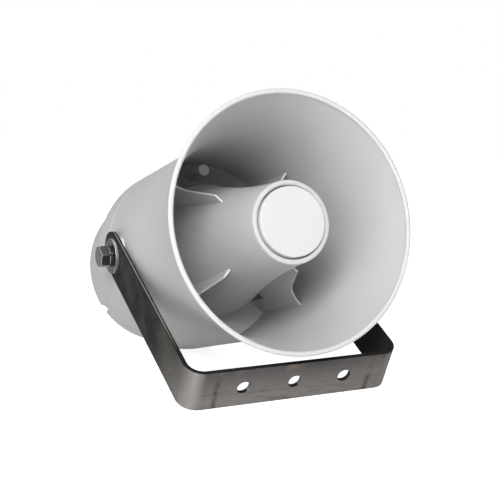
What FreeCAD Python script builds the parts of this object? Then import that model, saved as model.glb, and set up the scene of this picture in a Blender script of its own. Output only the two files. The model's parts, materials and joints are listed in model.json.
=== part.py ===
import FreeCAD, Part
import math
import os
import re
import Sketcher
from FreeCAD import Placement, Rotation, Vector

# Reflex horn speaker on a strap bracket, in millimetres.
# The horn frame has its origin at the centre of the back face, +Z forward along the axis to the mouth,
# +Y up and +X along the pivot axis. Heights are distances from the back face.

SIZES = {
    # Driver, from the pole outwards
    "pole_dia": 37.2,
    "coil_gap": 0.5,
    "former_thickness": 0.3,
    "winding_thickness": 0.4,
    "coil_length": 12.0,
    "coil_winding_length": 7.0,
    "dome_overhang": 0.1,
    "dome_rise": 4.0,
    "dome_thickness": 0.4,
    "roll_width": 4.1,
    "roll_flatness": 0.1,
    "surround_clamp": 7.0,
    "clamp_rim_step": 1.0,
    "clamp_rim_height": 1.8,
    "magnet_step": 3.7,
    "magnet_overhang": 2.0,
    "magnet_thickness": 15.0,
    "top_plate_thickness": 6.0,
    "yoke_thickness": 6.0,
    "pole_drop": 0.5,
    "plate_screw_margin": 3.0,
    "driver_body_margin": 6.0,
    "driver_front_thickness": 9.0,
    "driver_ear_thickness": 5.0,
    "dome_pocket_depth": 5.0,
    "ear_margin": 3.0,
    "flange_margin": 1.0,
    "driver_gasket_thickness": 1.5,
    "gasket_margin": 7.0,
    # Throat, phase plug and throat tube
    "throat_dia": 26.0,
    "throat_wall": 2.0,
    "throat_spigot": 7.0,
    "throat_tip_dia": 38.0,
    "throat_turn_gap": 19.0,
    "driver_flange_thickness": 5.0,
    "plug_gap": 4.0,
    "plug_length": 20.0,
    "plug_tip_dia": 2.0,
    "plug_nose_sweep": 30.0,
    "plug_web_thickness": 2.0,
    "plug_web_depth": 4.0,
    # Rear cover, from the driver's flange outwards and from the end wall forwards
    "cover_end_wall": 3.0,
    "cover_wall": 2.5,
    "cover_end_round": 4.0,
    "cover_end_margin": 0.7,
    "cover_step": 1.5,
    "cover_taper": 12.5,
    "cover_ring_height": 29.7,
    "cover_ledge_width": 5.5,
    "cover_ledge_thickness": 3.0,
    "column_clearance": 13.8,
    "screw_well_dia": 9.0,
    "screw_well_wall": 2.0,
    "screw_seat_depth": 8.7,
    "driver_rear_gap": 7.6,
    "cover_gasket_thickness": 3.0,
    "cover_gasket_width": 4.6,
    "seam_chamfer": 1.2,
    # Bell, from the rear cover's ring to the mouth
    "bell_wall": 2.5,
    "floor_thickness": 3.0,
    "drum_length": 84.8,
    "flare_length": 108.5,
    "flare_rise": 17.5,
    "rim_bead_dia": 4.0,
    "cover_boss_dia": 10.0,
    "cover_boss_height": 30.3,
    "driver_boss_dia": 9.0,
    "driver_boss_height": 9.0,
    "boss_end_wall": 3.0,
    # Inner flare, its nose ring and fins
    "nose_setback": 7.5,
    "nose_ring_step": 0.2,
    "nose_ring_width": 3.9,
    "nose_ring_round": 1.5,
    "nose_neck_depth": 4.5,
    "nose_bore_depth": 6.5,
    "nose_ledge_width": 3.6,
    "nose_ledge_thickness": 3.0,
    "inner_flare_wall": 2.2,
    "inner_flare_sweep": 735.0,
    "inner_flare_waist_ahead": 33.0,
    "path_gap": 23.5,
    "flare_rear_gap": 28.3,
    "fin_thickness": 1.6,
    "fin_front_setback": 70.0,
    "fin_waist_setback": 100.0,
    "fin_shoulder_setback": 118.0,
    "fin_hook_width": 7.9,
    "fin_waist_width": 16.0,
    "fin_sweep": 30.8,
    "fin_foot_gap": 7.5,
    # Nose cap
    "cap_proud": 2.5,
    "cap_groove": 1.3,
    "cap_bevel": 0.6,
    "cap_plate": 2.6,
    "cap_skirt_wall": 2.0,
    "cap_skirt_depth": 3.5,
    # Screws: head diameter, head height, shank diameter, length
    "cover_screw_head": 8.0,
    "cover_screw_head_height": 3.1,
    "cover_screw_shank": 4.2,
    "cover_screw_length": 38.0,
    "driver_screw_head": 7.0,
    "driver_screw_head_height": 2.8,
    "driver_screw_shank": 4.0,
    "driver_screw_length": 18.0,
    "plate_screw_head": 5.6,
    "plate_screw_head_height": 2.2,
    "plate_screw_shank": 3.0,
    "plate_screw_length": 13.0,
    "case_screw_head": 6.0,
    "case_screw_head_height": 2.2,
    "case_screw_shank": 3.0,
    "screw_tip_gap": 0.5,
    # Line transformer
    "transformer_rise": 20.0,
    "post_height": 5.0,
    "post_dia": 8.0,
    "core_height": 40.0,
    "core_stack": 16.0,
    "core_leg": 8.0,
    "core_clearance": 0.2,
    "window_gap": 0.8,
    "bobbin_wall": 1.0,
    "winding_reach": 6.2,
    "frame_metal": 1.0,
    "frame_foot": 10.0,
    # Terminal block
    "terminal_drop": 14.0,
    "terminal_depth": 12.0,
    "terminal_block_height": 13.0,
    "terminal_pitch": 6.5,
    "terminal_end_wall": 2.0,
    "terminal_wire_hole": 3.2,
    "terminal_lug": 7.0,
    "terminal_lug_thickness": 3.0,
    # Cable gland
    "gland_drop": 42.0,
    "gland_thread_dia": 16.0,
    "gland_shoulder": 1.5,
    "gland_flange": 5.0,
    "gland_seat": 1.0,
    "gland_neck_length": 7.0,
    "gland_tail": 2.0,
    "gland_wall": 2.0,
    "gland_lip": 1.5,
    "gland_nut_length": 13.0,
    "gland_nut_gap": 1.0,
    "gland_nut_taper": 4.0,
    "gland_seal_bore": 6.5,
    "gland_seal_length": 6.0,
    "locknut_shoulder": 3.0,
    "locknut_thickness": 5.0,
    # Pivot bosses and hardware
    "pivot_ahead": 32.8,
    "pivot_boss_dia": 32.0,
    "pivot_boss_stand": 1.1,
    "pivot_boss_end_wall": 4.0,
    "pivot_insert_dia": 16.0,
    "pivot_insert_length": 14.0,
    "pivot_insert_wall": 3.0,
    "pivot_thread_dia": 10.0,
    "pivot_play": 0.3,
    "friction_washer_dia": 30.0,
    "friction_washer_thickness": 1.3,
    "flat_washer_dia": 30.0,
    "flat_washer_thickness": 2.5,
    "spring_washer_width": 3.7,
    "spring_washer_thickness": 2.8,
    "spring_washer_slit": 1.6,
    "bolt_hex": 17.0,
    "bolt_head_height": 8.0,
    "bolt_bevel": 0.4,
    "bolt_point": 1.0,
    "bolt_point_gap": 2.0,
    # Bracket
    "bracket_reach": 180.0,
    "bracket_width": 35.0,
    "bracket_thickness": 3.5,
    "bracket_bend": 15.0,
    "bracket_over": 5.7,
    "base_hole_dia": 11.0,
    "base_hole_spacing": 43.3,
    "bracket_angle": 48.24,
    # Clearances
    "pivot_gap": 0.1,
    "fit_gap": 0.1,
    "thread_gap": 0.05,
    "cut_margin": 1.0,
}

# How many of each feature
COVER_SCREWS = "3"
DRIVER_SCREWS = "4"
PLATE_SCREWS = "4"
FINS = "4"
PLUG_WEBS = "3"
TERMINAL_WAYS = 4

# Distance at which two points count as the same
NEAR = 1e-4

doc = FreeCAD.newDocument("horn_speaker")
sheet = doc.addObject("Spreadsheet::Sheet", "Sizes")
for row, (alias, size) in enumerate(SIZES.items(), start=1):
    sheet.set(f"A{row}", alias)
    sheet.set(f"B{row}", str(size))
    sheet.setAlias(f"B{row}", alias)
work = doc.addObject("Spreadsheet::Sheet", "Work")
doc.recompute()


def bound(text):
    """The expression with every size name pointing at the sheet."""
    return re.sub(r"[a-z][a-z_]*", lambda name: f"Sizes.{name[0]}" if name[0] in SIZES else name[0], text)


def number(text):
    """The present value of an expression, worked out by the sheet."""
    work.set("A1", "=" + bound(text))
    work.recompute()
    return float(work.get("A1"))


# Radii of the driver and of what is built round it
COIL_IN = "(pole_dia / 2 + coil_gap)"
FORMER_R = f"({COIL_IN} + former_thickness)"
COIL_OUT = f"({FORMER_R} + winding_thickness)"
GAP_R = f"({COIL_OUT} + coil_gap)"
DOME_R = f"({COIL_OUT} + dome_overhang)"
ROLL_R = f"({DOME_R} + roll_width)"
SURROUND_R = f"({ROLL_R} + surround_clamp)"
PLATE_SCREW_R = f"({SURROUND_R} + plate_screw_margin)"
BODY_R = f"({PLATE_SCREW_R} + driver_body_margin)"
DRIVER_SCREW_R = f"({BODY_R} + driver_screw_head / 2 + ear_margin)"
FLANGE_R = f"({DRIVER_SCREW_R} + driver_screw_head / 2 + flange_margin)"
THROAT_R = "(throat_dia / 2)"
THROAT_HOLE_R = f"({THROAT_R} + throat_wall + throat_spigot)"

# Radii of the cover and the bell
COLUMN_R = "(screw_well_dia / 2 + screw_well_wall)"
COVER_SCREW_R = f"({FLANGE_R} + column_clearance + {COLUMN_R})"
END_R = f"({COVER_SCREW_R} + cover_end_margin)"
DRUM_R = f"({END_R} + cover_taper)"
DRUM_BORE = f"({DRUM_R} - bell_wall)"
LEDGE_R = f"({DRUM_BORE} - cover_ledge_width)"
GASKET_R = f"({DRUM_BORE} - fit_gap - cover_gasket_width)"
MOUTH_R = f"({DRUM_R} + flare_rise)"
RIM_R = f"({MOUTH_R} - rim_bead_dia / 2)"
BOSS_FACE = f"({DRUM_R} + pivot_boss_stand)"

# Heights, from the end wall past the transformer and the driver to the bell's floor
YOKE_REAR = ("(cover_end_wall + post_height + core_height + 2 * core_clearance"
             " + frame_metal + driver_rear_gap)")
MAGNET_REAR = f"({YOKE_REAR} + yoke_thickness)"
PLATE_REAR = f"({MAGNET_REAR} + magnet_thickness)"
PLATE_TOP = f"({PLATE_REAR} + top_plate_thickness)"
CLAMP = f"({PLATE_TOP} + clamp_rim_height)"
FRONT_REAR = f"({CLAMP} + dome_thickness)"
FRONT_TOP = f"({FRONT_REAR} + driver_front_thickness)"
EAR_REAR = f"({FRONT_TOP} - driver_ear_thickness)"
FLANGE_REAR = f"({FRONT_TOP} + driver_gasket_thickness)"
FLOOR = f"({FLANGE_REAR} + driver_flange_thickness)"
FLOOR_TOP = f"({FLOOR} + floor_thickness)"
SEAM = f"({FLOOR} - cover_gasket_thickness)"
SHOULDER = f"({SEAM} - cover_ring_height)"
SCREW_SEAT = f"({SEAM} - screw_seat_depth)"
PIVOT_HEIGHT = f"({SEAM} + pivot_ahead)"

# Heights of the horn
FLARE_START = f"({FLOOR_TOP} + drum_length)"
MOUTH = f"({FLARE_START} + flare_length)"
RIM = f"({MOUTH} - rim_bead_dia / 2)"
NOSE_FRONT = f"({MOUTH} - nose_setback)"
NECK = f"({NOSE_FRONT} - nose_neck_depth)"
LEDGE_TOP = f"({NOSE_FRONT} - nose_bore_depth)"
LEDGE_LOW = f"({LEDGE_TOP} - nose_ledge_thickness)"
FLARE_REAR = f"({FLOOR_TOP} + flare_rear_gap)"

# Distances along the pivot axis
ARM_INNER = f"({BOSS_FACE} + friction_washer_thickness + pivot_gap)"
ARM_OUTER = f"({ARM_INNER} + bracket_thickness)"
WASHER_IN = f"({ARM_OUTER} + pivot_gap)"
WASHER_OUT = f"({WASHER_IN} + flat_washer_thickness)"
HEAD_IN = f"({WASHER_OUT} + spring_washer_thickness)"
PIVOT_HOLE_R = "(pivot_thread_dia / 2 + pivot_play)"


def end_rounding():
    """How far behind the pivot and off the axis the centre of the end's rounded edge lies."""
    rounding = number("cover_end_round")
    taper = math.atan(number(f"({DRUM_R} - cover_step - {END_R}) / {SHOULDER}"))
    out = number(END_R) + rounding * (math.tan(taper) - 1 / math.cos(taper))
    return number(PIVOT_HEIGHT) - rounding, out, rounding


def rest_pitch():
    """Angle by which the mouth points up when the bracket's edge and the cover's rounded end stand on a table."""
    arm = math.radians(number("bracket_angle"))
    reach = number("bracket_reach")
    half = number("bracket_width / 2")
    behind, out, rounding = end_rounding()
    forward = reach * math.sin(arm) - half * math.cos(arm) + behind
    rise = out - reach * math.cos(arm) - half * math.sin(arm)
    return math.asin(-rounding / math.hypot(forward, rise)) - math.atan2(rise, forward)


def pivot_place():
    """Place of the pivot over the floor, with the whole object centred front to back."""
    pitch = rest_pitch()
    lean = math.radians(number("bracket_angle")) + pitch
    edge_drop = number("bracket_reach") * math.cos(lean) + number("bracket_width / 2") * math.sin(lean)
    behind, out, rounding = end_rounding()
    back = behind * math.cos(pitch) + out * math.sin(pitch) + rounding
    to_rim = number(f"{RIM} - {PIVOT_HEIGHT}")
    front = to_rim * math.cos(pitch) + number(RIM_R) * math.sin(pitch) + number("rim_bead_dia / 2")
    return Vector(0, (front - back) / 2, edge_drop)


PITCH = math.degrees(rest_pitch())
PIVOT = pivot_place()
HORN = Placement(PIVOT, Rotation(Vector(1, 0, 0), 90 - PITCH)) * Placement(
    Vector(0, 0, -number(PIVOT_HEIGHT)), Rotation())
STRAP = Placement(PIVOT, Rotation(Vector(1, 0, 0), -number("bracket_angle") - PITCH)) * Placement(
    Vector(0, 0, -number("bracket_reach")), Rotation())
PIECES = []


class Piece:
    """One sub-part: a body whose sketches and features read the sheet."""

    def __init__(self, label, place=None, turn=0, several=False):
        self.body = doc.addObject("PartDesign::Body", label)
        self.body.Label = label
        self.body.AllowCompound = several
        self.place = (place or HORN) * Placement(Vector(), Rotation(Vector(0, 0, 1), turn))
        self.body.Placement = self.place
        PIECES.append(self.body)

    def origin(self, role):
        return next(item for item in self.body.Origin.OriginFeatures if item.Role == role)

    def sketch(self, role="XZ_Plane", lift="0"):
        """An empty sketch on one of the body's own planes, lifted along the plane's normal."""
        drawing = self.body.newObject("Sketcher::SketchObject", "sketch")
        drawing.AttachmentSupport = [(self.origin(role), "")]
        drawing.MapMode = "FlatFace"
        drawing.setExpression("AttachmentOffset.Base.z", bound(lift))
        return drawing

    def fix(self, drawing, shape, point, across, along):
        """Hold a point of a shape at two distances from the sketch's origin."""
        for kind, text in (("DistanceX", across), ("DistanceY", along)):
            rule = drawing.addConstraint(Sketcher.Constraint(kind, -1, 1, shape, point, number(text)))
            self.name_rule(drawing, rule, text)

    def name_rule(self, drawing, rule, text):
        drawing.renameConstraint(rule, f"rule{rule}")
        drawing.setExpression(f"Constraints.rule{rule}", bound(text))

    def outline(self, drawing, corners, arcs=None):
        """A closed outline. arcs gives, for the side that leaves a corner, a radius and the centre's side."""
        arcs = arcs or {}
        points = [Vector(number(across), number(along), 0) for across, along in corners]
        starts, ends, shapes = [], [], []
        for index, start in enumerate(points):
            stop = points[(index + 1) % len(points)]
            if index in arcs:
                radius, side = arcs[index]
                shape = drawing.addGeometry(arc_between(start, stop, number(radius), side))
                rule = drawing.addConstraint(Sketcher.Constraint("Radius", shape, number(radius)))
                self.name_rule(drawing, rule, radius)
            else:
                shape = drawing.addGeometry(Part.LineSegment(start, stop))
            first = 1 if drawing.getPoint(shape, 1).distanceToPoint(start) < NEAR else 2
            shapes.append(shape)
            starts.append(first)
            ends.append(3 - first)
        for index, (across, along) in enumerate(corners):
            before = index - 1
            drawing.addConstraint(Sketcher.Constraint(
                "Coincident", shapes[before], ends[before], shapes[index], starts[index]))
            self.fix(drawing, shapes[index], starts[index], across, along)
        return drawing

    def circle(self, drawing, across, along, radius):
        centre = Vector(number(across), number(along), 0)
        shape = drawing.addGeometry(Part.Circle(centre, Vector(0, 0, 1), number(radius)))
        rule = drawing.addConstraint(Sketcher.Constraint("Radius", shape, number(radius)))
        self.name_rule(drawing, rule, radius)
        self.fix(drawing, shape, 3, across, along)
        return drawing

    def feature(self, kind, drawing=None):
        made = self.body.newObject("PartDesign::" + kind, kind.lower())
        if drawing:
            made.Profile = drawing
            drawing.Visibility = False
        return made

    def finish(self, made):
        self.body.Tip = made
        doc.recompute()
        return made

    def turn(self, drawing, kind="Revolution"):
        made = self.feature(kind, drawing)
        made.ReferenceAxis = (drawing, ["V_Axis"])
        made.Angle = 360
        return self.finish(made)

    def pad(self, drawing, length, both_sides=False):
        made = self.feature("Pad", drawing)
        made.setExpression("Length", bound(length))
        if both_sides:
            made.SideType = "Symmetric"
        return self.finish(made)

    def pocket(self, drawing, depth, forward=True, both_sides=False):
        """Cut along the plane's normal, or against it when not forward."""
        before = len(self.body.Tip.Shape.Faces)
        made = self.feature("Pocket", drawing)
        made.Reversed = forward
        if both_sides:
            made.SideType = "Symmetric"
        made.setExpression("Length", bound(depth))
        self.finish(made)
        if len(made.Shape.Faces) == before:
            raise RuntimeError(f"{self.body.Label}: a pocket cuts nothing")
        return made

    def polar(self, originals, count):
        made = self.feature("PolarPattern")
        made.Originals = originals
        made.Axis = (self.origin("Z_Axis"), [""])
        made.Angle = 360
        made.setExpression("Occurrences", bound(count))
        return self.finish(made)

    def mirror(self, originals):
        made = self.feature("Mirrored")
        made.Originals = originals
        made.MirrorPlane = (self.origin("YZ_Plane"), [""])
        return self.finish(made)

    def soften(self, kind, size, test):
        """Fillet or chamfer the edges that pass a test, which looks at them in the body's own frame."""
        tip = self.body.Tip
        names = [f"Edge{index}" for index, edge in enumerate(tip.Shape.Edges, start=1) if test(edge)]
        made = self.feature(kind)
        made.Base = (tip, names)
        made.setExpression("Radius" if kind == "Fillet" else "Size", bound(size))
        return self.finish(made)

    def holes(self, reach, dia, count, lift, depth):
        """A ring of round holes, drilled forward from a height."""
        drawing = self.circle(self.sketch("XY_Plane", lift), "0", reach, f"({dia}) / 2")
        return self.polar([self.pocket(drawing, depth)], count)


def arc_between(start, stop, radius, side):
    """The short arc of a radius between two points, with its centre to the left (+1) or right (-1)."""
    chord = stop.sub(start)
    across = Vector(-chord.y, chord.x, 0).normalize() * side
    middle = (start + stop) * 0.5
    centre = middle + across * math.sqrt(radius ** 2 - (chord.Length / 2) ** 2)
    crown = centre - across * radius
    return Part.Arc(start, crown, stop)


def turned(label, corners, arcs=None, place=None, turn=0):
    """A piece turned from one outline of (radius, height) corners."""
    piece = Piece(label, place, turn)
    piece.turn(piece.outline(piece.sketch(), corners, arcs))
    return piece


def ring(label, inner, outer, low, high, place=None):
    """A plain ring between two radii and two heights."""
    return turned(label, [(inner, low), (outer, low), (outer, high), (inner, high)], place=place)


def hexagon(across_flats):
    """The six corners of a hexagon, with one corner on the first axis."""
    reach = f"{across_flats} / sqrt(3)"
    half = f"{across_flats} / 2"
    return [
        (reach, "0"), (f"{reach} / 2", half), (f"-{reach} / 2", half),
        (f"-{reach}", "0"), (f"-{reach} / 2", f"-{half}"), (f"{reach} / 2", f"-{half}"),
    ]


def rectangle(width, height, low="0"):
    """Corners of a rectangle that is centred across and stands on a height."""
    top = f"{low} + {height}"
    return [(f"-{width} / 2", low), (f"{width} / 2", low), (f"{width} / 2", top), (f"-{width} / 2", top)]


def circle_edge(edge, radius, height):
    """Whether an edge is a circle of this radius at this height."""
    if not isinstance(edge.Curve, Part.Circle):
        return False
    return abs(edge.Curve.Radius - radius) < NEAR and abs(edge.Curve.Center.z - height) < NEAR


def screws(label, reach, seat, name, count, inward=False):
    """A ring of round-headed screws in one node: the shank points forward, or back when inward."""
    piece = Piece(label, several=True)
    seat_sketch = piece.circle(piece.sketch("XY_Plane", seat), "0", reach, f"{name}_head / 2")
    head = piece.pad(seat_sketch, f"{name}_head_height")
    head.Reversed = not inward
    shank = piece.pad(piece.circle(piece.sketch("XY_Plane", seat), "0", reach, f"{name}_shank / 2"), f"{name}_length")
    shank.Reversed = inward
    piece.finish(shank)
    piece.polar([head, shank], count)
    return piece


# Bell


def bell():
    """The outer horn in one moulding: flared wall, rolled rim, floor, pivot bosses and blind screw bosses."""
    run = f"({RIM} - {FLARE_START})"
    rise = f"({RIM_R} + bell_wall / 2 - {DRUM_R})"
    sweep = f"(({run} ^ 2 + {rise} ^ 2) / (2 * {rise}))"
    inner_end = f"{DRUM_R} + {sweep} - sqrt(({sweep} + bell_wall) ^ 2 - {run} ^ 2)"
    piece = turned("bell", [
        (f"{DRUM_R} - seam_chamfer", SEAM),
        (DRUM_R, f"{SEAM} + seam_chamfer"),
        (DRUM_R, FLARE_START),
        (f"{DRUM_R} + {rise}", RIM),
        (inner_end, RIM),
        (DRUM_BORE, FLARE_START),
        (DRUM_BORE, FLOOR_TOP),
        (THROAT_HOLE_R, FLOOR_TOP),
        (THROAT_HOLE_R, FLOOR),
        (DRUM_BORE, FLOOR),
        (DRUM_BORE, SEAM),
    ], arcs={2: (sweep, -1), 4: (f"{sweep} + bell_wall", 1)})
    piece.turn(piece.circle(piece.sketch(), RIM_R, RIM, "rim_bead_dia / 2"))
    blind_boss(piece, COVER_SCREW_R, "cover_boss", "cover_screw_shank", COVER_SCREWS)
    blind_boss(piece, DRIVER_SCREW_R, "driver_boss", "driver_screw_shank", DRIVER_SCREWS)
    pivot_bosses(piece)
    return piece


def blind_boss(piece, reach, name, shank, count):
    """A ring of closed bosses on the floor, bored from behind for self-tapping screws."""
    drawing = piece.circle(piece.sketch("XY_Plane", FLOOR_TOP), "0", reach, f"{name}_dia / 2")
    boss = piece.pad(drawing, f"{name}_height")
    bore = piece.circle(piece.sketch("XY_Plane", FLOOR), "0", reach, f"{shank} / 2 + thread_gap")
    hole = piece.pocket(bore, f"floor_thickness + {name}_height - boss_end_wall")
    piece.polar([boss, hole], count)


def pivot_bosses(piece):
    """The flat round pad outside each side of the drum and the closed boss behind it for the threaded insert."""
    root = f"(sqrt({DRUM_R} ^ 2 - (pivot_boss_dia / 2) ^ 2) - bell_wall / 5)"
    outer = piece.pad(
        piece.circle(piece.sketch("YZ_Plane", root), "0", PIVOT_HEIGHT, "pivot_boss_dia / 2"),
        f"{BOSS_FACE} - {root}")
    bottom = f"({BOSS_FACE} - pivot_insert_length - bolt_point_gap - pivot_boss_end_wall)"
    inner = piece.pad(
        piece.circle(piece.sketch("YZ_Plane", bottom), "0", PIVOT_HEIGHT, "pivot_insert_dia / 2 + pivot_insert_wall"),
        f"{BOSS_FACE} - {bottom}")
    bore = piece.pocket(
        piece.circle(piece.sketch("YZ_Plane", BOSS_FACE), "0", PIVOT_HEIGHT, "pivot_insert_dia / 2 + thread_gap"),
        "pivot_insert_length + bolt_point_gap", forward=False)
    piece.mirror([outer, inner, bore])


# Inner flare and nose


def flare_fall(height, inset="0"):
    """How far the inner flare's sweep stands off its own centre at a height."""
    return f"sqrt((inner_flare_sweep + {inset}) ^ 2 - ({MOUTH} + inner_flare_waist_ahead - {height}) ^ 2)"


def flare_at(height, inset="0"):
    """Radius of the inner flare at a height, measured that far inside its outer surface."""
    return f"({DRUM_BORE} - path_gap + {flare_fall(FLARE_REAR)} - {flare_fall(height, inset)})"


RING_R = f"({flare_at(NECK)} - nose_ring_step)"
NOSE_BORE_R = f"({RING_R} - nose_ring_width)"
NOSE_LEDGE_R = f"({NOSE_BORE_R} - nose_ledge_width)"


def inner_flare():
    """The reflex flare, open behind and closed by the nose cap in front, with its ring and its fins."""
    wall = "inner_flare_wall"
    piece = turned("inner_flare", [
        (NOSE_BORE_R, NOSE_FRONT),
        (RING_R, NOSE_FRONT),
        (flare_at(NECK), NECK),
        (flare_at(FLARE_REAR), FLARE_REAR),
        (flare_at(FLARE_REAR, wall), FLARE_REAR),
        (flare_at(LEDGE_LOW, wall), LEDGE_LOW),
        (NOSE_LEDGE_R, LEDGE_LOW),
        (NOSE_LEDGE_R, LEDGE_TOP),
        (NOSE_BORE_R, LEDGE_TOP),
    ], arcs={2: ("inner_flare_sweep", 1), 4: (f"inner_flare_sweep + {wall}", -1)}, turn=45)
    front = number(NOSE_FRONT)
    piece.soften("Fillet", "nose_ring_round", lambda edge: (
        circle_edge(edge, number(NOSE_BORE_R), front) or circle_edge(edge, number(RING_R), front)))
    fins(piece)
    return piece


def fins(piece):
    """Fins from the flare to the bell's wall: a hooked front end, an S-shaped edge and a foot on the floor."""
    inset = "inner_flare_wall / 2"
    front = f"({MOUTH} - fin_front_setback)"
    waist = f"({MOUTH} - fin_waist_setback)"
    shoulder = f"({MOUTH} - fin_shoulder_setback)"
    low = f"({FLARE_REAR} + inner_flare_wall)"
    middle = f"(({shoulder} + {FLARE_REAR}) / 2)"
    reach = f"{DRUM_BORE} - fit_gap"
    foot = f"{flare_at(FLARE_REAR)} + fin_foot_gap"
    drawing = piece.outline(piece.sketch(), [
        (flare_at(front, inset), front),
        (f"{flare_at(front)} + fin_hook_width", front),
        (f"{flare_at(waist)} + fin_waist_width", waist),
        (reach, shoulder),
        (reach, FLOOR_TOP),
        (foot, FLOOR_TOP),
        (foot, f"{FLARE_REAR} - inner_flare_wall"),
        (flare_at(low, inset), low),
        (flare_at(middle, inset), middle),
        (flare_at(shoulder, inset), shoulder),
    ], arcs={2: ("fin_sweep", 1)})
    piece.polar([piece.pad(drawing, "fin_thickness", both_sides=True)], FINS)


def nose_cap():
    """The white disc that closes the nose and stands a little proud of it, with a skirt that plugs into the ledge."""
    reach = f"({NOSE_BORE_R} - cap_groove)"
    face = f"({NOSE_FRONT} + cap_proud)"
    skirt = f"({NOSE_LEDGE_R} - fit_gap)"
    return turned("nose_cap", [
        ("0", face),
        (f"{reach} - cap_bevel", face),
        (reach, f"{face} - cap_bevel"),
        (reach, LEDGE_TOP),
        (skirt, LEDGE_TOP),
        (skirt, f"{LEDGE_TOP} - cap_skirt_depth"),
        (f"{skirt} - cap_skirt_wall", f"{LEDGE_TOP} - cap_skirt_depth"),
        (f"{skirt} - cap_skirt_wall", f"{face} - cap_plate"),
        ("0", f"{face} - cap_plate"),
    ])


def throat_tube():
    """The first length of the folded horn, from the driver forward into the nose."""
    tip = f"({LEDGE_LOW} - throat_turn_gap)"
    spigot = f"{THROAT_HOLE_R} - fit_gap"
    piece = turned("throat_tube", [
        (THROAT_R, FLANGE_REAR),
        (FLANGE_R, FLANGE_REAR),
        (FLANGE_R, FLOOR),
        (spigot, FLOOR),
        (spigot, FLOOR_TOP),
        (f"{THROAT_R} + throat_wall", f"{FLOOR_TOP} + floor_thickness"),
        ("throat_tip_dia / 2 + throat_wall", tip),
        ("throat_tip_dia / 2", tip),
    ])
    driver_holes(piece, FLANGE_REAR, "driver_flange_thickness")
    return piece


# Driver


def driver_holes(piece, lift, depth):
    """Clearance holes for the four screws that hold the driver and the throat tube to the bell's floor."""
    piece.holes(DRIVER_SCREW_R, "driver_screw_shank + 2 * fit_gap", DRIVER_SCREWS, lift, depth)


def driver_gasket():
    piece = ring("driver_gasket", f"{THROAT_R} + gasket_margin", FLANGE_R, FRONT_TOP, FLANGE_REAR)
    driver_holes(piece, FRONT_TOP, "driver_gasket_thickness")
    return piece


def driver_front():
    """The driver's front plate, with its throat, the pocket over the dome and the flange for the screws."""
    pocket_top = f"({FRONT_REAR} + dome_pocket_depth)"
    piece = turned("driver_front", [
        (THROAT_R, FRONT_TOP),
        (FLANGE_R, FRONT_TOP),
        (FLANGE_R, EAR_REAR),
        (BODY_R, EAR_REAR),
        (BODY_R, FRONT_REAR),
        (ROLL_R, FRONT_REAR),
        (ROLL_R, pocket_top),
        (THROAT_R, pocket_top),
    ])
    driver_holes(piece, EAR_REAR, "driver_ear_thickness")
    piece.holes(PLATE_SCREW_R, "plate_screw_shank + 2 * fit_gap", PLATE_SCREWS,
                FRONT_REAR, "driver_front_thickness")
    piece.holes(PLATE_SCREW_R, "plate_screw_head + 2 * fit_gap", PLATE_SCREWS,
                f"{FRONT_TOP} - plate_screw_head_height", "plate_screw_head_height")
    return piece


def phase_plug():
    """The bullet in the throat, held by thin webs in the front plate's bore."""
    base = f"({FRONT_REAR} + dome_pocket_depth)"
    reach = f"({THROAT_R} - plug_gap)"
    shoulder = f"({base} + plug_web_depth)"
    piece = turned("phase_plug", [
        ("0", base),
        (reach, base),
        (reach, shoulder),
        ("plug_tip_dia / 2", f"{base} + plug_length"),
        ("0", f"{base} + plug_length"),
    ], arcs={2: ("plug_nose_sweep", 1)})
    web = piece.outline(piece.sketch(), [
        (f"{reach} / 2", base),
        (f"{THROAT_R} - fit_gap", base),
        (f"{THROAT_R} - fit_gap", shoulder),
        (f"{reach} / 2", shoulder),
    ])
    piece.polar([piece.pad(web, "plug_web_thickness", both_sides=True)], PLUG_WEBS)
    return piece


def diaphragm():
    """The thin dome that the coil drives."""
    curve = f"(({DOME_R} ^ 2 + dome_rise ^ 2) / (2 * dome_rise))"
    return turned("diaphragm", [
        ("0", f"{CLAMP} + dome_rise"),
        (DOME_R, CLAMP),
        (DOME_R, f"{CLAMP} - dome_thickness"),
        ("0", f"{CLAMP} - dome_thickness + dome_rise"),
    ], arcs={0: (curve, -1), 2: (curve, 1)})


def surround():
    """The soft ring that carries the dome: one half roll and a flange clamped under the front plate."""
    inner = f"({DOME_R} + fit_gap)"
    sweep = f"(({ROLL_R} - {inner}) / 2 + roll_flatness)"
    return turned("surround", [
        (inner, CLAMP),
        (f"{inner} + dome_thickness", CLAMP),
        (f"{ROLL_R} - dome_thickness", CLAMP),
        (SURROUND_R, CLAMP),
        (SURROUND_R, FRONT_REAR),
        (ROLL_R, FRONT_REAR),
        (inner, FRONT_REAR),
    ], arcs={1: (f"{sweep} - dome_thickness", -1), 5: (sweep, 1)})


def voice_coil():
    """The former and its winding, in the gap between the pole and the top plate."""
    high = f"({CLAMP} - dome_thickness)"
    low = f"({high} - coil_length)"
    return turned("voice_coil", [
        (COIL_IN, low),
        (COIL_OUT, low),
        (COIL_OUT, f"{low} + coil_winding_length"),
        (FORMER_R, f"{low} + coil_winding_length"),
        (FORMER_R, high),
        (COIL_IN, high),
    ])


def top_plate():
    """The plate round the voice coil, with a rim that clamps the surround and tapped holes for the front plate."""
    piece = turned("top_plate", [
        (GAP_R, PLATE_REAR),
        (BODY_R, PLATE_REAR),
        (BODY_R, CLAMP),
        (f"{SURROUND_R} + fit_gap", CLAMP),
        (f"{ROLL_R} + clamp_rim_step", CLAMP),
        (f"{ROLL_R} + clamp_rim_step", PLATE_TOP),
        (GAP_R, PLATE_TOP),
    ])
    depth = "plate_screw_length - driver_front_thickness + plate_screw_head_height"
    piece.holes(PLATE_SCREW_R, "plate_screw_shank + 2 * thread_gap", PLATE_SCREWS, f"{CLAMP} - ({depth})", depth)
    return piece


def magnet():
    return ring("magnet", f"{GAP_R} + magnet_step", f"{BODY_R} + magnet_overhang", MAGNET_REAR, PLATE_REAR)


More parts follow.
